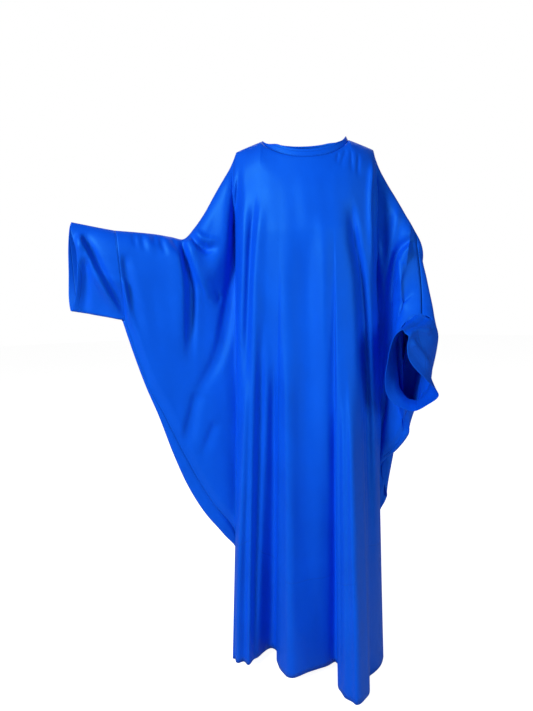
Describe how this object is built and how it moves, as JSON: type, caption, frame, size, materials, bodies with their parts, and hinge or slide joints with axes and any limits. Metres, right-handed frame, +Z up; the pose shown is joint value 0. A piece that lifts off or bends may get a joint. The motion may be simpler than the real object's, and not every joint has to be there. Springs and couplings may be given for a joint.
{
  "type": "butterfly abaya",
  "caption": "Loose floor-length butterfly abaya with batwing sleeves, narrow stand neckband and wide sleeve ends, held in its worn shape and hollow inside.",
  "frame": {"origin": "middle of the neck base, where the wearer's neck and shoulders hold the garment", "axes": "+Z up along the wearer's spine, front towards -Y, the wearer's left towards +X"},
  "size_m": [0.9272, 0.3517, 1.4293],
  "materials": {
    "cloth": "matte satin crepe weave, plain royal blue"
  },
  "bodies": {
    "root": {"front_panel": "cloth", "back_panel": "cloth", "right_sleeve_end": "cloth", "left_sleeve_end": "cloth", "neck_band": "cloth"}
  },
  "joints": []
}
